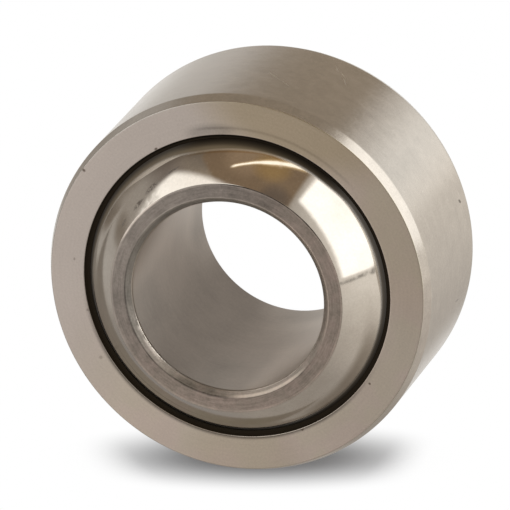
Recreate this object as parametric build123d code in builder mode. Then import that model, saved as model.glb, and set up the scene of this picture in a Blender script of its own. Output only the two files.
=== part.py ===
# Maintenance-free spherical plain bearing with a 16 mm bore: a one-piece outer ring, a thin sliding
# liner bonded into its spherical seat, and a polished ball that tilts and turns inside the liner.
# Millimetres. The origin is the centre of the ball, and +Z runs along the bore.
import os
from math import asin, degrees, hypot, sqrt

from build123d import *

# Ball: the inner ring, turned and ground from one piece of bearing steel. The width and the wall at
# its end faces give the ball its 28.575 mm diameter, which is 9/8 inch.
bore_diameter = 16.0
ball_width = 21.0
ball_end_wall = 1.6893
bore_chamfer = 0.5
ball_edge_break = 0.06

# Outer ring: one piece, with a steep lead-in at both ends for pressing it into a 32 mm housing. The
# wall is thinnest outside the middle of the seat.
ring_width = 15.0
ring_wall = 1.1725
lead_in_depth = 0.38
lead_in_length = 1.05
mouth_edge_break = 0.05

# Sliding liner: a thin layer in the ring's seat that stops short of both of the ring's faces
liner_thickness = 0.5
liner_recess = 0.4
running_clearance = 0.04

# Heights of the flat faces above and below the centre of the ball
ball_face_z = ball_width / 2
ring_face_z = ring_width / 2
liner_end_z = ring_face_z - liner_recess

# Radii that follow from the sizes above, from the bore outwards
bore_radius = bore_diameter / 2
ball_face_radius = bore_radius + ball_end_wall
ball_radius = hypot(ball_face_radius, ball_face_z)
liner_inner_radius = ball_radius + running_clearance
seat_radius = liner_inner_radius + liner_thickness
outside_radius = seat_radius + ring_wall


def radius_at(sphere_radius, height):
    """Radius of the circle that a plane at this height cuts from a sphere about the origin."""
    return sqrt(sphere_radius**2 - height**2)


def zone_arc(sphere_radius, height):
    """Arc of a sphere about the origin, from this height below the centre to the same above it."""
    half_angle = degrees(asin(height / sphere_radius))
    return CenterArc((0, 0), sphere_radius, -half_angle, 2 * half_angle)


# Outer ring: a plain wall whose inner side is the arc of the seat, with its two mouths broken
mouth_radius = radius_at(seat_radius, ring_face_z)
with BuildPart() as outer_ring:
    with BuildSketch(Plane.XZ):
        with BuildLine():
            seat = zone_arc(seat_radius, ring_face_z - mouth_edge_break)
            Polyline(
                seat @ 1,
                (mouth_radius + mouth_edge_break, ring_face_z),
                (outside_radius, ring_face_z),
                (outside_radius, -ring_face_z),
                (mouth_radius + mouth_edge_break, -ring_face_z),
                seat @ 0,
            )
        make_face()
    revolve(axis=Axis.Z)
    outer_wall = outer_ring.faces().filter_by(GeomType.CYLINDER)[0]
    rims = outer_wall.edges().filter_by(GeomType.CIRCLE)
    chamfer(rims, length=lead_in_length, length2=lead_in_depth, reference=outer_wall)
outer_ring.part.label = "outer_ring"

# Sliding liner: a spherical zone of even thickness that fills the seat and runs on the ball
with BuildPart() as sliding_liner:
    with BuildSketch(Plane.XZ):
        with BuildLine():
            bonded_side = zone_arc(seat_radius, liner_end_z)
            running_side = zone_arc(liner_inner_radius, liner_end_z)
            Line(bonded_side @ 0, running_side @ 0)
            Line(bonded_side @ 1, running_side @ 1)
        make_face()
    revolve(axis=Axis.Z)
sliding_liner.part.label = "sliding_liner"

# Ball: a sphere cut off flat at both ends and bored through, with its sharp edges broken
with BuildPart() as ball:
    with BuildSketch(Plane.XZ):
        with BuildLine():
            running_surface = zone_arc(ball_radius, ball_face_z - ball_edge_break)
            Polyline(
                running_surface @ 1,
                (ball_face_radius - ball_edge_break, ball_face_z),
                (bore_radius, ball_face_z),
                (bore_radius, -ball_face_z),
                (ball_face_radius - ball_edge_break, -ball_face_z),
                running_surface @ 0,
            )
        make_face()
    revolve(axis=Axis.Z)
    bore_wall = ball.faces().filter_by(GeomType.CYLINDER)
    chamfer(bore_wall.edges().filter_by(GeomType.CIRCLE), bore_chamfer)
ball.part.label = "ball"

os.makedirs("parts", exist_ok=True)
export_step(outer_ring.part, "parts/outer_ring.step")
export_step(sliding_liner.part, "parts/sliding_liner.step")
export_step(ball.part, "parts/ball.step")
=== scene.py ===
import bpy
import numpy as np
from mathutils import Matrix, Vector


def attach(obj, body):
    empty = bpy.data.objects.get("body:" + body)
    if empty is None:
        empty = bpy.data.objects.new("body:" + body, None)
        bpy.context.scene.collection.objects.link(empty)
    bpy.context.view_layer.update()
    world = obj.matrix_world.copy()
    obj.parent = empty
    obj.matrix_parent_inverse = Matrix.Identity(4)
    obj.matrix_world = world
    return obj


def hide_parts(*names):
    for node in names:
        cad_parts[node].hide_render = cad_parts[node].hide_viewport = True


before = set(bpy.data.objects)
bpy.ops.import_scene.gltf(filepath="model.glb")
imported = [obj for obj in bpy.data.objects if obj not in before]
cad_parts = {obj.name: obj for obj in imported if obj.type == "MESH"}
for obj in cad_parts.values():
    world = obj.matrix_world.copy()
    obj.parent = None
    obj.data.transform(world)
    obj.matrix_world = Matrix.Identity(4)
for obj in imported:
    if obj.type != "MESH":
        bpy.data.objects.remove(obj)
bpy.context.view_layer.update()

# Outer ring. One piece of through-hardened bearing steel with a spherical seat inside. Both end
# faces and the outside cylinder are ground, and a steep lead-in at each end eases it into its
# housing bore. Sizes here and below are in millimetres, and azimuths are degrees round from +X.
SEAT_RADIUS = 14.8275
SEAT_TOP_Z = 7.48
RING_FACE_Z = 7.5
RING_OUTSIDE = 16.0
RING_LIP_RADIUS = float(np.sqrt(SEAT_RADIUS**2 - RING_FACE_Z**2))
LEAD_IN_DEPTH, LEAD_IN_LENGTH = 0.38, 1.05
LIP_ROUNDING, RIM_ROUNDING, SHOULDER_ROUNDING = 0.06, 0.07, 0.5
AROUND = 720
SAME_POINT = 1e-5


def zone(radius, height, count):
    """Points (r, z) on a circle of this radius about the origin, from z = height down to -height."""
    half = np.arcsin(height / radius)
    angle = np.linspace(half, -half, count)
    return np.column_stack([radius * np.cos(angle), radius * np.sin(angle)])


def side(start, end, count):
    """Points on a straight line that crowd towards both of its ends, by half a cosine wave."""
    share = (1 - np.cos(np.linspace(0, np.pi, count)[:, None])) / 2
    return np.array(start) * (1 - share) + np.array(end) * share


def softened(before, corner, after, radius, count=5):
    """The arc of this radius that touches both legs of a corner, as points from leg to leg. Its
    centre lies on the bisector, radius / sin(half the corner's angle) away from the corner."""
    before, corner, after = (np.array(p, float) for p in (before, corner, after))
    first = (before - corner) / np.linalg.norm(before - corner)
    second = (after - corner) / np.linalg.norm(after - corner)
    half = np.arccos(np.clip(first @ second, -1, 1)) / 2
    bisector = (first + second) / np.linalg.norm(first + second)
    centre = corner + bisector * radius / np.sin(half)
    ends = [corner + leg * radius / np.tan(half) - centre for leg in (first, second)]
    share, sweep = np.linspace(0, 1, count)[:, None], np.pi - 2 * half
    arc = np.sin((1 - share) * sweep) * ends[0] + np.sin(share * sweep) * ends[1]
    return centre + arc / np.sin(sweep)


def lower_end(runs):
    """The same runs below the middle plane, so that an outline goes on round the lower end."""
    return [(points[::-1] * (1, -1), number) for points, number in reversed(runs)]


def turned(name, runs, finishes):
    """Carries a closed outline round the Z axis: a point (r, z) goes to (r cos t, r sin t, z) at
    each of the equal angles t. The outline comes in runs of points, each with the number of its
    finish, and keeps the metal on its left."""
    outline = np.vstack([points for points, _ in runs])
    finish = np.concatenate([np.full(len(points), number) for points, number in runs])
    apart = np.linalg.norm(outline - np.roll(outline, -1, 0), axis=1) > SAME_POINT
    outline, finish = outline[apart], finish[apart]
    angle = np.arange(AROUND) * 2 * np.pi / AROUND
    radius, height = outline[:, :1], outline[:, 1:]
    x, y = radius * np.cos(angle), radius * np.sin(angle)
    points = np.stack([x, y, np.broadcast_to(height, x.shape)], -1) / 1000
    index = np.arange(x.size).reshape(x.shape)
    beside, above = np.roll(index, -1, 1), np.roll(index, -1, 0)
    faces = np.stack([index, beside, np.roll(above, -1, 1), above], -1).reshape(-1, 4)
    mesh = bpy.data.meshes.new(name)
    mesh.vertices.add(x.size)
    mesh.vertices.foreach_set("co", points.astype(np.float32).ravel())
    mesh.loops.add(faces.size)
    mesh.loops.foreach_set("vertex_index", faces.astype(np.int32).ravel())
    mesh.polygons.add(len(faces))
    mesh.polygons.foreach_set("loop_start", np.arange(0, faces.size, 4, dtype=np.int32))
    for material in finishes:
        mesh.materials.append(material)
    mesh.polygons.foreach_set("material_index", np.repeat(finish, AROUND).astype(np.int32))
    mesh.update(calc_edges=True)
    mesh.shade_smooth()
    piece = bpy.data.objects.new(name, mesh)
    bpy.context.scene.collection.objects.link(piece)
    return piece


def towards(azimuth, elevation=0.0):
    """The unit vector in this direction, from its two angles in degrees."""
    a, e = np.radians([azimuth, elevation])
    return np.array([np.cos(a) * np.cos(e), np.sin(a) * np.cos(e), np.sin(e)])


def plain(values):
    """A point, direction or size as a tuple of plain numbers, which a node's socket takes."""
    return tuple(float(value) for value in values)


class Field:
    """A number, colour or place that varies over a surface: one output socket of a shader node.
    Sums are written on it as on a number, and each adds the Math node that works it out."""

    def __init__(self, tree, socket=None):
        self.tree = tree
        self.socket = socket

    def node(self, kind, settings=None, inputs=None, output=0):
        """Adds a node of this type: first its settings, then the values or links of its sockets."""
        made = self.tree.nodes.new(kind)
        for name, value in (settings or {}).items():
            setattr(made, name, value)
        for name, value in (inputs or {}).items():
            if isinstance(value, Field):
                self.tree.links.new(value.socket, made.inputs[name])
            else:
                made.inputs[name].default_value = value
        return Field(self.tree, made.outputs[output] if made.outputs else None)

    def maths(self, operation, *values):
        return self.node("ShaderNodeMath", {"operation": operation}, dict(enumerate(values)))

    def __add__(self, other):
        return self.maths("ADD", self, other)

    def __sub__(self, other):
        return self.maths("SUBTRACT", self, other)

    def __rsub__(self, other):
        return self.maths("SUBTRACT", other, self)

    def __mul__(self, other):
        return self.maths("MULTIPLY", self, other)

    def __abs__(self):
        return self.maths("ABSOLUTE", self)

    __radd__ = __add__
    __rmul__ = __mul__

    def wave(self):
        """The sine of this angle, in radians."""
        return self.maths("SINE", self)

    def smooth(self, low, high):
        """0 at low and 1 at high, which may be the smaller one, with a smooth step between them."""
        settings = {"interpolation_type": "SMOOTHSTEP"}
        inputs = {"Value": self, "From Min": low, "From Max": high}
        return self.node("ShaderNodeMapRange", settings, inputs)

    def vector(self, operation, *values, output=0):
        settings = {"operation": operation}
        return self.node("ShaderNodeVectorMath", settings, dict(enumerate(values)), output)

    def scaled(self, factor):
        settings = {"operation": "SCALE"}
        return self.node("ShaderNodeVectorMath", settings, {0: self, "Scale": factor})

    def length(self):
        return self.vector("LENGTH", self, output="Value")

    def dot(self, direction):
        return self.vector("DOT_PRODUCT", self, plain(direction), output="Value")

    def height(self):
        return self.dot((0, 0, 1))

    def flat(self):
        """This place brought down or up to the middle plane."""
        return self.vector("MULTIPLY", self, (1, 1, 0))

    def outwards(self):
        """The level unit vector from the axis towards this place."""
        flat = self.flat()
        return flat.vector("NORMALIZE", flat)

    def blend(self, first, second):
        """The first colour where this field is 0 and the second where it is 1."""
        first, second = (c if isinstance(c, Field) else (*c, 1) for c in (first, second))
        settings = {"data_type": "RGBA", "clamp_factor": True}
        return self.node("ShaderNodeMix", settings, {0: self, 6: first, 7: second}, 2)

    def noise(self, scale, detail=2.0, roughness=0.5):
        """Noise at this place, about 0.5, with about this many features to the millimetre."""
        inputs = {"Vector": self, "Scale": scale, "Detail": detail, "Roughness": roughness}
        return self.node("ShaderNodeTexNoise", None, inputs)

    def bump(self, depth):
        """The normal of a surface that stands this field times depth, in millimetres, proud."""
        return self.node("ShaderNodeBump", None, {"Height": self, "Distance": depth / 1000})


def place_in(tree):
    """The place on the piece that is being shaded, in millimetres."""
    return Field(tree).node("ShaderNodeTexCoord", output="Object").scaled(1000.0)


def finish_for(name):
    """A new material. Returns it, its Principled shader and the place in it."""
    material = bpy.data.materials.new(name)
    material.use_nodes = True
    tree = material.node_tree
    return material, tree.nodes["Principled BSDF"], place_in(tree)


def connect(shader, **fields):
    """Links Fields to the shader's sockets, whose names are given with _ for each space."""
    for name, field in fields.items():
        field.tree.links.new(field.socket, shader.inputs[name.replace("_", " ")])


def lay(place, fineness, along):
    """The lines that turning or grinding leaves round the axis. It is noise read at the unit vector
    out from the axis times along, with fineness * (distance from the axis + height) added to z."""
    across = (place.flat().length() + place.height()) * fineness
    lift = across.node("ShaderNodeCombineXYZ", None, {"Z": across})
    outwards = place.outwards().scaled(along)
    return outwards.vector("ADD", outwards, lift).noise(1.0, 3.0, 0.6)


def mark(place, at, turn, size):
    """1 within and 0 outside an ellipsoid with this centre, these angles and these half sizes."""
    inputs = {
        "Vector": place,
        "Location": plain(at),
        "Rotation": plain(np.radians(turn)),
        "Scale": plain(size),
    }
    settings = {"vector_type": "TEXTURE"}
    return place.node("ShaderNodeMapping", settings, inputs).length().smooth(1.0, 0.4)


MARK_DEPTH = 0.6


def on_wall(place, azimuth, height, long, wide, lean=0.0, radius=RING_OUTSIDE):
    """A mark on a cylinder about the axis, which runs round it and climbs by the angle lean."""
    at = radius * towards(azimuth) + (0, 0, height)
    return mark(place, at, (0, -lean, azimuth + 90), (long / 2, MARK_DEPTH, wide / 2))


def on_face(place, azimuth, distance, long, wide):
    """A mark on the ring's seen face, this far from the axis, which runs round it."""
    at = distance * towards(azimuth) + (0, 0, RING_FACE_Z)
    return mark(place, at, (0, 0, azimuth + 90), (long / 2, wide / 2, MARK_DEPTH))


# The ring's ground end faces are satin, with faint lines round the axis, a fine grain, one deeper
# turned line and painted shade along a stretch by the lip. The seen face also has small pits and an
# oily smear. Painted shade dulls one side of it to a greenish tan, and painted reflection makes the
# other side cooler.
WARM_STEEL = (0.575, 0.525, 0.478)
TAN_STEEL = (0.56, 0.53, 0.46)
COOL_STEEL = (0.55, 0.53, 0.505)
SHADED_SIDE_TAN = (0.435, 0.382, 0.278)
PIT_BROWN = (0.10, 0.08, 0.06)

face_steel, shader, place = finish_for("ring_face_ground_steel")
lines = lay(place, 7.0, 4.0)
grain = place.noise(6.0, 4.0, 0.65)
clouds = place.noise(0.2, 3.0, 0.5)
# Painted shade: darker greenish-tan patches, strongest on one side of the face.
painted_side_shade = mark(place, (5.0, -14.4, RING_FACE_Z), (0, 0, 22), (11.0, 5.0, 6.0))
painted_side_shade = painted_side_shade + 0.3 * mark(place, (-9.5, 11.0, RING_FACE_Z), (0, 0, 40), (6.0, 4.0, 6.0))
painted_side_shade = painted_side_shade + 0.35 * mark(place, (-7.5, -12.0, RING_FACE_Z), (0, 0, -32), (9.0, 5.0, 6.0))
# Each pit: its azimuth, its distance from the axis, its length and width, and its strength
PITS = [
    (34, 13.7, 0.35, 0.25, 0.5),
    (70.5, 13.55, 0.4, 0.4, 0.4),
    (52.8, 12.9, 0.3, 0.5, 0.6),
    (4.2, 15.5, 0.3, 0.5, 1.0),
    (185.4, 13.3, 0.25, 0.3, 1.0),
    (153.6, 12.95, 0.3, 0.4, 1.0),
    (339.6, 12.95, 0.4, 0.3, 1.0),
]
pits = sum(strength * on_face(place, *pit) for *pit, strength in PITS)
across = place.flat().length()
# Painted shade on the face next to the lip, on one side.
painted_lip_shade = across.smooth(13.22, 12.82) * place.dot(towards(120.2)).smooth(2.0, 10.05)
turned_line = across.smooth(13.20, 13.42) * across.smooth(13.62, 13.44)
turned_line = turned_line * place.dot(towards(293)).smooth(11.2, 12.3)
smeared = on_face(place, 318, 13.1, 5.4, 1.9)
shade = 0.97 + 0.14 * (clouds - 0.5) + 0.34 * (grain - 0.5) + 0.12 * (lines - 0.5)
shade = shade - 0.8 * painted_lip_shade - 0.19 * turned_line - 0.24 * smeared
colour = place.noise(0.33, 2.0, 0.5).smooth(0.35, 0.65).blend(WARM_STEEL, TAN_STEEL)
# Painted reflection: the face turns cooler towards one side.
colour = place.dot(towards(5.8)).smooth(0.0, 12.06).blend(colour, COOL_STEEL)
colour = (painted_side_shade * 0.85).blend(colour, SHADED_SIDE_TAN).scaled(shade)
connect(
    shader,
    Base_Color=(pits * 0.8).blend(colour, PIT_BROWN),
    Roughness=0.34 + 0.1 * (grain - 0.5) + 0.06 * (lines - 0.5),
    Normal=(lines * 0.5 + grain * 0.5 - pits * 2).bump(0.004),
)
shader.inputs["Metallic"].default_value = 1.0

# The ring's outside wall, lead-ins, lips and seat are ground finer, so they mirror the room softly.
# The wall has a mottled bloom, a little paler towards its back edge, handling scratches and two
# dark nicks.
FINE_STEEL = (0.575, 0.535, 0.49)
BRIGHT_SCRATCH = (0.80, 0.76, 0.70)
NICK_BROWN = (0.08, 0.065, 0.05)

wall_steel, shader, place = finish_for("ring_wall_ground_steel")
lines = lay(place, 5.0, 3.0)
grain = place.noise(5.0, 5.0, 0.65)
mottle = place.noise(0.75, 4.0, 0.6)
# Each scratch: its azimuth and height, its length and width, and how far it leans
SCRATCHES = [
    (285.5, -2.6, 1.6, 0.1, -62),
    (287, -3.6, 1.4, 0.1, -50),
    (290, -4.4, 1.2, 0.1, -68),
    (304, 0.9, 2.4, 0.1, -47),
    (299, 2.2, 1.6, 0.08, -40),
    (247, 2.0, 1.2, 0.08, -75),
]
scratches = sum(on_wall(place, *scratch) for scratch in SCRATCHES)
nicks = on_wall(place, 235.2, -4.8, 0.8, 0.4, 60) + 0.5 * on_wall(place, 207, -2.7, 1.6, 0.3, 80)
shade = 0.95 + 0.28 * (mottle - 0.5) + 0.30 * (grain - 0.5) + 0.12 * (lines - 0.5)
shade = shade - 0.006 * place.height()
colour = (scratches * 0.5).blend(FINE_STEEL, BRIGHT_SCRATCH).scaled(shade)
connect(
    shader,
    Base_Color=(nicks * 0.85).blend(colour, NICK_BROWN),
    Roughness=0.2 + 0.12 * (grain - 0.5) + 0.1 * (mottle - 0.5) + 0.15 * scratches,
    Normal=(mottle + grain * 0.12 + lines * 0.08 - nicks * 1.5 - scratches * 0.3).bump(0.01),
)
shader.inputs["Metallic"].default_value = 1.0

# Every rounding touches the runs on both sides of its corner, and the next run starts at its end.
FACE, WALL = 0, 1
seat = zone(SEAT_RADIUS, SEAT_TOP_Z, 60)
rim = (RING_OUTSIDE - LEAD_IN_DEPTH, RING_FACE_Z)
shoulder = (RING_OUTSIDE, RING_FACE_Z - LEAD_IN_LENGTH)
lip_arc = softened(rim, (RING_LIP_RADIUS, RING_FACE_Z), seat[2], LIP_ROUNDING, 7)
rim_arc = softened(shoulder, rim, lip_arc[0], RIM_ROUNDING)
shoulder_arc = softened((RING_OUTSIDE, 0), shoulder, rim, SHOULDER_ROUNDING)
upper_edge = [
    (shoulder_arc, WALL),
    (side(shoulder_arc[-1], rim_arc[0], 5), WALL),
    (rim_arc, FACE),
    (side(rim_arc[-1], lip_arc[0], 10), FACE),
    (lip_arc, WALL),
]
wall = side(shoulder_arc[0] * (1, -1), shoulder_arc[0], 14)
below_lip = seat[np.abs(seat[:, 1]) < lip_arc[-1][1]]
outer_ring = turned(
    "outer_ring_steel",
    [(wall, WALL), *upper_edge, (below_lip, WALL), *lower_end(upper_edge)],
    [face_steel, wall_steel],
)
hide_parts("outer_ring")
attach(outer_ring, "outer")

# Sliding liner. A woven low-friction fabric with a dark olive-brown resin, half a millimetre thick,
# bonded into the ring's seat. It stops a little short of the ring's faces, so it shows only as the
# dark band round the ball.
LINER_INNER_RADIUS = 14.3275
LINER_END_Z = 7.1
BOND = 0.005
WARP_WAVES_AROUND = 480.0
WEFT_RADIANS_PER_MM = 34.0
# Painted shade: both colours are darkened almost to black, far below the fabric's own, as the gap's
# shade.
SHADED_RESIN = (0.0055, 0.0036, 0.0020)
SHADED_THREAD = (0.0135, 0.0095, 0.0052)

liner_cloth, shader, place = finish_for("liner_woven_fabric")
turn = place.maths("ARCTAN2", place.dot((0, 1, 0)), place.dot((1, 0, 0)))
warp = (turn * WARP_WAVES_AROUND).wave()
weft = (place.height() * WEFT_RADIANS_PER_MM).wave()
weave = warp * weft
fuzz = place.noise(9.0, 3.0, 0.6)
thread = 0.5 + 0.3 * weave + 0.5 * (fuzz - 0.5)
connect(
    shader,
    Base_Color=thread.blend(SHADED_RESIN, SHADED_THREAD),
    Roughness=0.7 + 0.2 * (fuzz - 0.5),
    Normal=(weave * 0.3 + fuzz).bump(0.02),
)
shader.inputs["Specular IOR Level"].default_value = 0.15
running_side = zone(LINER_INNER_RADIUS, LINER_END_Z, 40)
bonded_side = zone(SEAT_RADIUS - BOND, LINER_END_Z, 34)[::-1]
sliding_liner = turned(
    "sliding_liner_fabric",
    [
        (bonded_side, 0),
        (side(bonded_side[-1], running_side[0], 6), 0),
        (running_side, 0),
        (side(running_side[-1], bonded_side[0], 6), 0),
    ],
    [liner_cloth],
)
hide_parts("sliding_liner")
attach(sliding_liner, "lining")

# Ball. The inner ring: a hardened ball cut off flat at both ends and bored through. Its spherical
# surface is lapped to a mirror, its end faces and bore are ground and darker, and both mouths of
# the bore have a turned chamfer.
BALL_RADIUS = 14.2875
BALL_FACE_Z = 10.5
BALL_FACE_RADIUS = float(np.sqrt(BALL_RADIUS**2 - BALL_FACE_Z**2))
BORE_RADIUS = 8.0
BORE_CHAMFER = 0.5
EDGE_ROUNDING, CHAMFER_TOP_ROUNDING, CHAMFER_FOOT_ROUNDING = 0.06, 0.05, 0.3

# The mirror has faint smears and haze. Painted shade lies on it as a thin dark film at the liner's
# upper end, reaching higher in places. From just above the film down, one stretch is tinted amber
# and two are darkened brown towards the gap. Scuffs lie near the upper face, and a shallow
# bump makes the flank mirror fuller, as in the photograph.
POLISH = (0.57, 0.53, 0.485)
POLISH_PALE = (0.61, 0.575, 0.53)
GAP_SHADE_THIN = (0.090, 0.068, 0.042)
GAP_SHADE_DEEP = (0.020, 0.0150, 0.010)
AMBER_TINT = (0.47, 0.365, 0.245)
GAP_SIDE_BROWN = (0.14, 0.095, 0.05)
SCUFF_GREY = (0.13, 0.11, 0.095)

mirror_steel, shader, place = finish_for("ball_polished_steel")
lines = lay(place, 3.0, 5.0)
haze = place.noise(0.9, 5.0, 0.65)
smears = place.noise(0.35, 3.0, 0.6)
outwards, height = place.outwards(), place.height()
handled = place.dot(towards(107.5)).smooth(-7.03, -1.0)
fuller = handled * height.smooth(8.95, 7.1)
reach = 0.45 * outwards.dot(towards(350)).smooth(0.35, 0.95)
reach = reach + 0.10 * outwards.dot(towards(199.9)).smooth(0.5, 0.9)
# Painted shade along the gap: a dark film on the mirror, deepest on one side and reaching higher in
# places.
deeper_shade_side = outwards.dot(towards(297)).smooth(0.75, 0.92)
gap_shade_film = (0.92 + 0.08 * deeper_shade_side) * (height - reach - 0.25 * deeper_shade_side).smooth(7.6, 7.28)
gap_shade_film = gap_shade_film * height.smooth(6.75, 7.0)
gap_shade_colour = height.smooth(7.8, 7.1).blend(GAP_SHADE_THIN, GAP_SHADE_DEEP)
gap_shade_colour = gap_shade_colour.scaled(1.1 - 0.6 * deeper_shade_side * height.smooth(7.9, 7.5))
amber = (height - 0.35 * outwards.dot(towards(325)).smooth(0.85, 1.0)).smooth(8.05, 7.9)
amber = amber * outwards.dot(towards(308)).smooth(0.93, 0.975)
brown = 0.5 * outwards.dot(towards(182)).smooth(0.86, 0.985) * height.smooth(9.1, 8.2)
brown_behind = outwards.dot(towards(345.5)).smooth(0.779, 0.948) * height.smooth(8.9, 7.9)
brown = brown + 0.42 * brown_behind
# Each scuff: its azimuth and height, its length, width and lean, its distance from the axis, and
# its strength
SCUFFS = [
    (334.8, 9.06, 1.7, 0.24, 12, 11.04, 1.0),
    (345.9, 9.50, 2.0, 0.55, 12, 10.66, 1.0),
    (354.8, 9.86, 1.7, 0.45, 8, 10.34, 1.0),
    (6.8, 9.93, 1.2, 0.3, 2, 10.27, 0.8),
]
scuffs = sum(strength * on_wall(place, *scuff) for *scuff, strength in SCUFFS)
scuffs = scuffs * place.noise(5.0, 4.0, 0.7).smooth(0.42, 0.52)
shade = 1.0 + 0.26 * (place.noise(5.0, 4.0, 0.65) - 0.5) + 0.10 * (lines - 0.5)
colour = smears.smooth(0.35, 0.7).blend(POLISH, POLISH_PALE)
colour = (0.8 * amber).blend(colour, AMBER_TINT)
colour = brown.blend(colour, GAP_SIDE_BROWN).scaled(shade)
colour = (scuffs * 0.9).blend(colour, SCUFF_GREY)
roughness = 0.045 + 0.06 * haze.smooth(0.5, 0.8) + 0.03 * (lines - 0.5) + 0.08 * handled
connect(
    shader,
    Base_Color=gap_shade_film.blend(colour, gap_shade_colour),
    Metallic=1.0 - gap_shade_film,
    Roughness=roughness + 0.2 * scuffs + 0.4 * gap_shade_film,
    Normal=(smears + haze * 0.15 + fuller * 80.0).bump(0.004),
)
shader.inputs["Specular IOR Level"].default_value = 0.15

# The end faces and the chamfers have coarser turned lines, grain and stains. The face's outer edge
# and parts of the chamfer are painted bright as highlights, the chamfer's outer edge most on the
# camera's side. A dark line runs along the outer edge on the camera's side, and along the chamfer's
# edge on the far side.
FACE_BROWN = (0.335, 0.305, 0.27)
FACE_STAIN = (0.35, 0.305, 0.275)
FACE_COOL = (0.315, 0.30, 0.28)

face_grey, shader, place = finish_for("ball_face_ground_steel")
lines = lay(place, 8.0, 6.0)
grain = place.noise(5.0, 5.0, 0.7)
stains = place.noise(0.8, 4.0, 0.6)
across = place.flat().length()
dull = mark(place, (4.6, 7.8, BALL_FACE_Z), (0, 0, 150), (6.0, 3.0, 3.0))
dull = dull + 1.3 * mark(place, (4.6, -7.9, BALL_FACE_Z), (0, 0, 30), (6.5, 3.0, 3.0))
shade = 0.95 + 0.6 * (stains - 0.5) + 0.8 * (grain - 0.5) + 0.75 * (lines - 0.5) - 0.13 * dull
on_chamfer = across.smooth(8.56, 8.46)
glint = place.dot(towards(154.5)).smooth(7.32, 8.22) * across.smooth(8.24, 8.36)
# Painted highlights and shade on the chamfer, by azimuth.
painted_chamfer_light = 0.3 * place.dot(towards(71.3)).smooth(7.4, 8.2) + 2.6 * glint
painted_chamfer_light = painted_chamfer_light + place.dot(towards(285)).smooth(4.48, 7.97)
painted_chamfer_light = painted_chamfer_light - place.dot(towards(114.8)).smooth(7.68, 8.28)
shade = shade + 0.12 * on_chamfer + 0.32 * on_chamfer * painted_chamfer_light
near_side = place.dot(towards(281.5)).smooth(-2.0, 3.0)
chamfer_edge = across.smooth(8.62, 8.54)
# Painted highlight on the chamfer's outer edge on the camera's side; elsewhere a dark line runs along
# it.
shade = shade - 0.35 * across.smooth(8.42, 8.49) * chamfer_edge * (1.0 - near_side)
shade = shade + 0.42 * across.smooth(8.32, 8.42) * chamfer_edge * near_side
# Painted highlight along the face's outer edge, brightest on one side.
painted_edge_highlight = across.smooth(9.5, 9.62)
brightest = painted_edge_highlight * place.dot(towards(358)).smooth(9.2, 9.5)
dark_line = across.smooth(9.57, 9.68) * place.dot(towards(281)).smooth(7.91, 8.92)
shade = shade + 0.35 * painted_edge_highlight + 1.2 * brightest - dark_line
# Painted highlight: a glinting patch on the chamfer's inner part, also a little smoother.
painted_glint_patch = across.smooth(8.30, 8.16) * place.dot(towards(71.3)).smooth(7.85, 8.05)
painted_glint_patch = painted_glint_patch * stains.smooth(0.40, 0.5)
shade = shade + 0.4 * painted_glint_patch
colour = stains.smooth(0.35, 0.65).blend(FACE_BROWN, FACE_STAIN)
colour = place.dot((1, 0, 0)).smooth(-2.0, 8.0).blend(colour, FACE_COOL)
connect(
    shader,
    Base_Color=colour.scaled(shade),
    Roughness=0.36 + 0.15 * (grain - 0.5) + 0.1 * (lines - 0.5) + 0.2 * on_chamfer - 0.2 * painted_glint_patch,
    Normal=(lines * 0.7 + grain * 0.6).bump(0.006),
)
shader.inputs["Metallic"].default_value = 1.0

# The bore's wall is ground like the faces. Painted reflection makes it paler at its two sides and
# palest there high up, and painted shade dims it in a band beside them and low down. The chamfers'
# rounded feet have this finish too, and the upper one is duller and at one place painted bright as a
# highlight.
BORE_GREY = (0.395, 0.362, 0.328)
BORE_PALE = (0.425, 0.387, 0.35)

bore_steel, shader, place = finish_for("bore_ground_steel")
lines = lay(place, 4.0, 4.0)
grain = place.noise(4.0, 5.0, 0.65)
stains = place.noise(0.3, 4.0, 0.55)
sideways, height = abs(place.dot((1, 0, 0))), place.height()
# Painted reflection at the two sides and high up, painted shade in bands beside them and low down.
painted_light_sides = sideways.smooth(1.5, 7.8)
painted_lightest = sideways.smooth(5.6, 6.9) * height.smooth(-4.0, 3.0)
painted_lightest = painted_lightest * (0.24 + 0.12 * place.dot((-1, 0, 0)).smooth(0.0, 4.0))
painted_shade_bands = 0.16 * sideways.smooth(2.0, 3.6) * sideways.smooth(6.3, 5.3) * height.smooth(2.0, 6.0)
painted_shade_bands = painted_shade_bands + 0.35 * sideways.smooth(3.5, 5.5) * height.smooth(-5.5, -8.5)
on_foot = height.smooth(9.86, 9.95)
painted_glint_patch = on_foot * place.dot(towards(71.3)).smooth(7.65, 7.9) * grain.smooth(0.40, 0.52)
shade = 0.95 + 0.4 * (stains - 0.5) + 0.30 * (grain - 0.5) + 0.16 * (lines - 0.5)
shade = shade + 0.4 * painted_light_sides + painted_lightest - painted_shade_bands - 0.1 * on_foot + 0.4 * painted_glint_patch
connect(
    shader,
    Base_Color=grain.blend(BORE_GREY, BORE_PALE).scaled(shade),
    Roughness=0.34 + 0.12 * (grain - 0.5) + 0.08 * (stains - 0.5) + 0.12 * on_foot - 0.28 * painted_glint_patch,
    Normal=(lines * 0.5 + grain * 0.5).bump(0.004),
)
shader.inputs["Metallic"].default_value = 1.0

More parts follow.
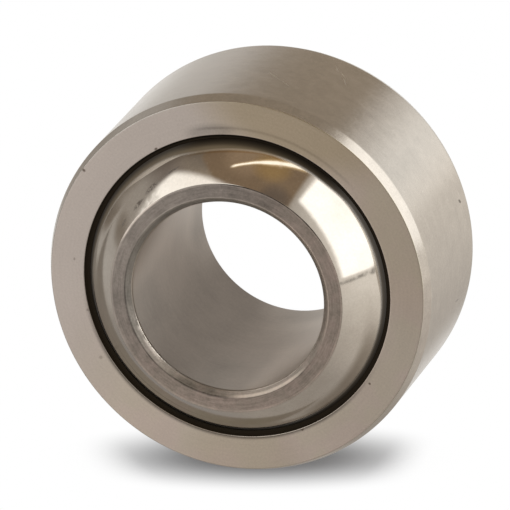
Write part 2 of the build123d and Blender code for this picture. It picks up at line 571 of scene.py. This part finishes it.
MIRROR, GROUND, BORE = 0, 1, 2
running_surface = zone(BALL_RADIUS, BALL_FACE_Z - EDGE_ROUNDING, 52)
chamfer_top = (BORE_RADIUS + BORE_CHAMFER, BALL_FACE_Z)
chamfer_foot = (BORE_RADIUS, BALL_FACE_Z - BORE_CHAMFER)
face_corner = (BALL_FACE_RADIUS, BALL_FACE_Z)
edge_arc = softened(running_surface[1], face_corner, chamfer_top, EDGE_ROUNDING)
top_arc = softened(face_corner, chamfer_top, chamfer_foot, CHAMFER_TOP_ROUNDING)
foot_arc = softened(chamfer_top, chamfer_foot, (BORE_RADIUS, 0), CHAMFER_FOOT_ROUNDING, 7)
upper_edge = [
    (edge_arc, GROUND),
    (side(edge_arc[-1], top_arc[0], 7), GROUND),
    (top_arc, GROUND),
    (side(top_arc[-1], foot_arc[0], 5), GROUND),
    (foot_arc, BORE),
]
bore = side(foot_arc[-1], foot_arc[-1] * (1, -1), 14)
ball = turned(
    "ball_steel",
    [(running_surface[::-1], MIRROR), *upper_edge, (bore, BORE), *lower_end(upper_edge)],
    [mirror_steel, face_grey, bore_steel],
)
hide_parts("ball")
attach(ball, "inner")

# Floor. White paper under the bearing, which stays white inside the bore. The lamp's shadow shows
# in a thin elliptical pool beside the bearing, and right under it, where the photograph's view
# can't see it but others can. The metal doesn't mirror the floor.
FLOOR_Z = -BALL_FACE_Z
FLOOR_HALF_SIZE = 2000.0
PAPER_WHITE = (0.9, 0.9, 0.9, 1)
GLOW_WHITE = (1, 1, 1, 1)
POOL_MIDDLE = (-10.9, 18.7, 0)
POOL_HALF_LENGTH, POOL_HALF_WIDTH = 16.31, 2.74
UNDER_MIDDLE_Y, UNDER_HALF_WIDTH, UNDER_HALF_DEPTH = 5.0, 15.5, 18.6


def laid_flat(name, finish, outline, height):
    """A flat sheet with this outline of points (x, y) at this height, and with an empty material.
    Returns it and the place in its material."""
    mesh = bpy.data.meshes.new(name)
    points = [(x / 1000, y / 1000, height / 1000) for x, y in outline]
    mesh.from_pydata(points, [], [tuple(range(len(points)))])
    sheet = bpy.data.objects.new(name, mesh)
    bpy.context.scene.collection.objects.link(sheet)
    material = bpy.data.materials.new(finish)
    material.use_nodes = True
    material.node_tree.nodes.clear()
    mesh.materials.append(material)
    return sheet, place_in(material.node_tree)


def rectangle(half_width, half_depth, middle_y=0.0):
    """The four corners (x, y) of a rectangle whose middle lies on the Y axis."""
    signs = [(-1, -1), (1, -1), (1, 1), (-1, 1)]
    return [(x * half_width, middle_y + y * half_depth) for x, y in signs]


def off_middle(place, middle_y, half_width, half_depth):
    """0 in the middle of a level ellipse and 1 on its rim: the length of the vector
    (x / half width, (y - middle y) / half depth)."""
    from_middle = place.vector("SUBTRACT", place, (0, middle_y, 0))
    shares = from_middle.vector("MULTIPLY", from_middle, (1 / half_width, 1 / half_depth, 0))
    return shares.length()


floor, place = laid_flat("floor", "white_paper", rectangle(FLOOR_HALF_SIZE, FLOOR_HALF_SIZE), FLOOR_Z)
floor.visible_glossy = False
seen = place.node("ShaderNodeLightPath", output="Is Camera Ray")
in_bore = place.flat().length().smooth(8.6, 8.4)
from_pool = place.vector("SUBTRACT", place, POOL_MIDDLE)
along = from_pool.dot(towards(218.3) / POOL_HALF_LENGTH)
across = from_pool.dot(towards(134.2) / POOL_HALF_WIDTH)
off_pool = place.node("ShaderNodeCombineXYZ", None, {"X": along, "Y": across}).length()
pool = off_pool.smooth(1.2, 0.25)
under = off_middle(place, UNDER_MIDDLE_Y, UNDER_HALF_WIDTH, UNDER_HALF_DEPTH).smooth(1.0, 0.9)
shadowed = pool.maths("MAXIMUM", pool, under)
diffuse = place.node("ShaderNodeBsdfDiffuse", None, {"Color": PAPER_WHITE})
glow = place.node("ShaderNodeEmission", None, {"Color": GLOW_WHITE, "Strength": 1.0})
share = seen * (1.0 - shadowed * (1.0 - in_bore))
shown = place.node("ShaderNodeMixShader", None, {0: share, 1: diffuse, 2: glow})
shown.node("ShaderNodeOutputMaterial", None, {"Surface": shown})

# Key lamp. A broad soft source above the photograph's upper edge, as far off as the sun. It throws
# the shadow on the floor, and the metal doesn't mirror it.
KEY_STRENGTH = 3.5
KEY_SPREAD_RADIANS = 0.16
KEY_FROM = (0.187, -0.567, 0.803)

key = bpy.data.objects.new("key_lamp", bpy.data.lights.new("key_lamp", "SUN"))
key.data.energy = KEY_STRENGTH
key.data.angle = KEY_SPREAD_RADIANS
key.rotation_mode = "QUATERNION"
key.rotation_quaternion = Vector(KEY_FROM).to_track_quat("Z", "Y")
key.visible_glossy = False
bpy.context.scene.collection.objects.link(key)

# Studio. Straight rays see white, soft light fills the floor, and the metal mirrors a plain
# warm-grey room with one large softbox, a dark golden side with a thin strip light that tapers,
# and a window. Directions are an azimuth and an elevation in degrees.
room = bpy.data.worlds.new("studio")
bpy.context.scene.world = room
room.use_nodes = True
tree = room.node_tree
tree.nodes.clear()
gaze = Field(tree).node("ShaderNodeTexCoord", output="Generated")
camera_ray = gaze.node("ShaderNodeLightPath", output="Is Camera Ray")
glossy_ray = gaze.node("ShaderNodeLightPath", output="Is Glossy Ray")


def near(azimuth, elevation, inside, outside):
    """1 within the first angle of this direction, and 0 from the second angle on."""
    low, high = plain(np.cos(np.radians([outside, inside])))
    return gaze.dot(towards(azimuth, elevation)).smooth(low, high)


def beyond(first, second, softness):
    """1 on the left of the great circle from the first to the second direction, seen from inside:
    the gaze's part along the circle's axis, with a smooth step of this half width."""
    axis = np.cross(towards(*second), towards(*first))
    return gaze.dot(axis / np.linalg.norm(axis)).smooth(-softness, softness)


def patch(softness, *corners):
    """1 inside the patch whose corners these are, with its inside on the left."""
    inside = 1.0
    for first, second in zip(corners, corners[1:] + corners[:1]):
        inside = inside * beyond(first, second, softness)
    return inside


ROOM_GREY = (0.455, 0.415, 0.37)
ROOM_BRIGHT = (1.15, 1.09, 1.0)
SOFTBOX_LOW = (1.12, 1.10, 1.05)
SOFTBOX_HIGH = (2.05, 2.02, 1.94)
CABLE_GREY = (0.48, 0.45, 0.41)
STRIP_GLOW = (0.98, 0.72, 0.40)
STRIP_WHITE = (2.0, 1.9, 1.65)
WINDOW_WHITE = (1.62, 1.57, 1.49)
FILL_WHITE = (0.19, 0.193, 0.20)
SEEN_WHITE = (1.0, 1.0, 1.0)

rough = gaze.noise(22.0, 4.0, 0.6)
broad = gaze.noise(2.2, 3.0, 0.5)
brown_side = beyond((285, -89), (279, 20), 0.06) * beyond((350, 40), (352, -89), 0.2)
golden = patch(0.03, (341, -1.6), (326, -12), (280, -12), (280, 30), (328, 30))
# Pale and dark places of the room, each painted over the ones before it: how much, and its colour.
# The ball's flank mirrors most of them, and those under an elevation of -50 light the ring's wall.
places = [
    (near(188, 2, 2, 25) * 0.24, (0.44, 0.39, 0.32)),
    (near(93, -30, 4, 30), (0.368, 0.346, 0.327)),
    (near(51, -14, 4, 20), (0.58, 0.55, 0.51)),
    (near(35, -6, 1, 9), (0.28, 0.24, 0.20)),
    (near(9, -30, 6, 22), (0.58, 0.55, 0.51)),
    (near(22, -72, 4, 16), (0.72, 0.69, 0.65)),
    (near(352, -7, 6, 24), (0.27, 0.23, 0.20)),
    (brown_side, (0.41, 0.345, 0.27)),
    (near(336, -4, 4, 18), (0.27, 0.225, 0.18)),
    (golden, (0.30, 0.215, 0.14)),
    (golden * near(314, 4, 4, 17), (0.40, 0.29, 0.19)),
    (golden * near(300, 7, 2, 14), (0.42, 0.28, 0.13)),
    (golden * near(290, 30, 4, 14), (0.20, 0.155, 0.12)),
    (near(85, -66, 3, 21.5), (1.02, 1.0, 0.965)),
    (near(237, -65, 1, 11), (1.42, 1.37, 1.28)),
    (near(268, -67, 2, 8) * 0.3, (0.3, 0.27, 0.24)),
    (near(103, -58, 2, 8), (0.42, 0.38, 0.34)),
    (near(187, -33, 4, 20) * 0.45, (0.5, 0.44, 0.40)),
]
walls = near(232, -20, 0, 82).blend(ROOM_GREY, ROOM_BRIGHT)
for share, colour in places:
    walls = share.blend(walls, colour)
cable = beyond((216, -10), (213.5, 18), 0.010) * beyond((215.5, 18), (218, -10), 0.010)
walls = (cable * rough.smooth(0.3, 0.6)).blend(walls, CABLE_GREY)
softbox = beyond((230, -65), (219, -27), 0.10) * beyond((219, -27), (217.5, 18), 0.012)
softbox = softbox * beyond((217, 20.4), (275.4, 21.2), 0.03)
softbox = softbox * beyond((275.7, 20), (275.8, -27), 0.03) * beyond((275.8, -27), (262, -65), 0.12)
softbox_light = gaze.height().smooth(-1.0, -0.3).blend(SOFTBOX_LOW, SOFTBOX_HIGH)
walls = softbox.blend(walls, softbox_light)
# The strip light bends gently: its line goes through three directions, and it thins to the third.
strip = [towards(282.8, -1.7), towards(302.6, 4.7), towards(323.5, 10.9)]
axis = np.cross(strip[1] - strip[0], strip[2] - strip[0])
axis = axis / np.linalg.norm(axis)
off_strip = abs(gaze.dot(axis) - float(axis @ strip[0])) * (1.0 + near(323.5, 10.9, 2, 22))
along_strip = beyond((282, -30), (282, 30), 0.03) * beyond((322.5, 30), (322.5, -30), 0.03)
walls = (off_strip.smooth(0.06, 0.018) * along_strip).blend(walls, STRIP_GLOW)
walls = (off_strip.smooth(0.030, 0.015) * along_strip).blend(walls, STRIP_WHITE)
window = beyond((24.2, 4.2), (356, 1.1), 0.045) * beyond((356, 1.5), (328.5, 21.5), 0.045)
window = window * near(355, 18, 34, 42)
smudged = near(20, 4, 2, 16) * rough.smooth(0.62, 0.42)
walls = (window * (1.0 - 0.65 * smudged)).blend(walls, WINDOW_WHITE)
walls = walls.scaled(0.96 + 0.2 * (broad - 0.5))
seen_room = camera_ray.blend(glossy_ray.blend(FILL_WHITE, walls), SEEN_WHITE)
background = gaze.node("ShaderNodeBackground", None, {"Color": seen_room, "Strength": 1.0})
background.node("ShaderNodeOutputWorld", None, {"Surface": background})
room.cycles.sampling_method = "NONE"

# Graded card. Only mirrored rays meet it. It hangs over the bearing, where the end faces mirror it,
# is lighter towards one corner and fades out at its rim.
CARD_HEIGHT = 140.0
CARD_MIDDLE_Y = 66.0
CARD_HALF_WIDTH, CARD_HALF_DEPTH = 90.0, 70.0
CARD_TINT = {"X": 0.71, "Y": 0.63, "Z": 0.585}
CARD_TONE = 0.64
CARD_TONE_PER_MM = (0.0105, 0.0065, 0)
CARD_DARKEST_TONE = 0.35

outline = rectangle(CARD_HALF_WIDTH, CARD_HALF_DEPTH, CARD_MIDDLE_Y)
card, place = laid_flat("graded_card", "graded_card", outline, CARD_HEIGHT)
card.visible_camera = card.visible_diffuse = card.visible_shadow = False
slope = CARD_TONE + place.dot(CARD_TONE_PER_MM)
tint = slope.node("ShaderNodeCombineXYZ", None, CARD_TINT)
tone = tint.scaled(slope.maths("MAXIMUM", slope, CARD_DARKEST_TONE))
light = place.node("ShaderNodeEmission", None, {"Color": tone, "Strength": 1.0})
nothing = place.node("ShaderNodeBsdfTransparent")
inside = off_middle(place, CARD_MIDDLE_Y, CARD_HALF_WIDTH, CARD_HALF_DEPTH).smooth(1.0, 0.75)
light = inside.node("ShaderNodeMixShader", None, {0: inside, 1: nothing, 2: light})
light.node("ShaderNodeOutputMaterial", None, {"Surface": light})

# Shade below the bore. Only mirrored rays meet it. It gives the bore's wall something to mirror:
# darker in the middle and lighter at both sides.
SHADE_RADIUS = 8.2
SHADE_CORNERS = 64
SHADE_OFF_FLOOR = 0.01
SHADE_DARK = (0.44, 0.40, 0.365)
SHADE_LIGHT = (0.74, 0.70, 0.655)

around = np.arange(SHADE_CORNERS) * 2 * np.pi / SHADE_CORNERS
outline = (SHADE_RADIUS * np.column_stack([np.cos(around), np.sin(around)])).tolist()
bore_shade, place = laid_flat("bore_shade", "bore_shade", outline, FLOOR_Z + SHADE_OFF_FLOOR)
bore_shade.visible_camera = bore_shade.visible_diffuse = bore_shade.visible_shadow = False
tone = abs(place.dot((1, 0, 0))).smooth(1.0, 6.5).blend(SHADE_DARK, SHADE_LIGHT)
light = place.node("ShaderNodeEmission", None, {"Color": tone, "Strength": 1.0})
light.node("ShaderNodeOutputMaterial", None, {"Surface": light})

# Camera at the photograph's angle: a long lens that looks down on the bearing, rolled as the
# photograph is, and moved a little to its own left and up.
SENSOR_WIDTH = 36.0
LENS = 705.9
DISTANCE = 813.2
MOVED_RIGHT, MOVED_UP = -0.595, 0.159
VIEW_BACK = np.array([0.0, -0.4212, 0.907])
VIEW_RIGHT = np.array([-0.7540, -0.5957, -0.2766])
VIEW_UP = np.array([0.6568, -0.6839, -0.3176])

camera = bpy.data.objects.new("camera", bpy.data.cameras.new("camera"))
bpy.context.scene.collection.objects.link(camera)
bpy.context.scene.camera = camera
camera.data.sensor_width = SENSOR_WIDTH
camera.data.lens = LENS
back = VIEW_BACK / np.linalg.norm(VIEW_BACK)
stand = DISTANCE * back + MOVED_RIGHT * VIEW_RIGHT + MOVED_UP * VIEW_UP
roll = Matrix(np.column_stack([VIEW_RIGHT, VIEW_UP, back]).tolist()).to_4x4()
camera.matrix_world = Matrix.Translation(Vector(stand / 1000)) @ roll

bpy.context.scene.view_settings.view_transform = "Standard"
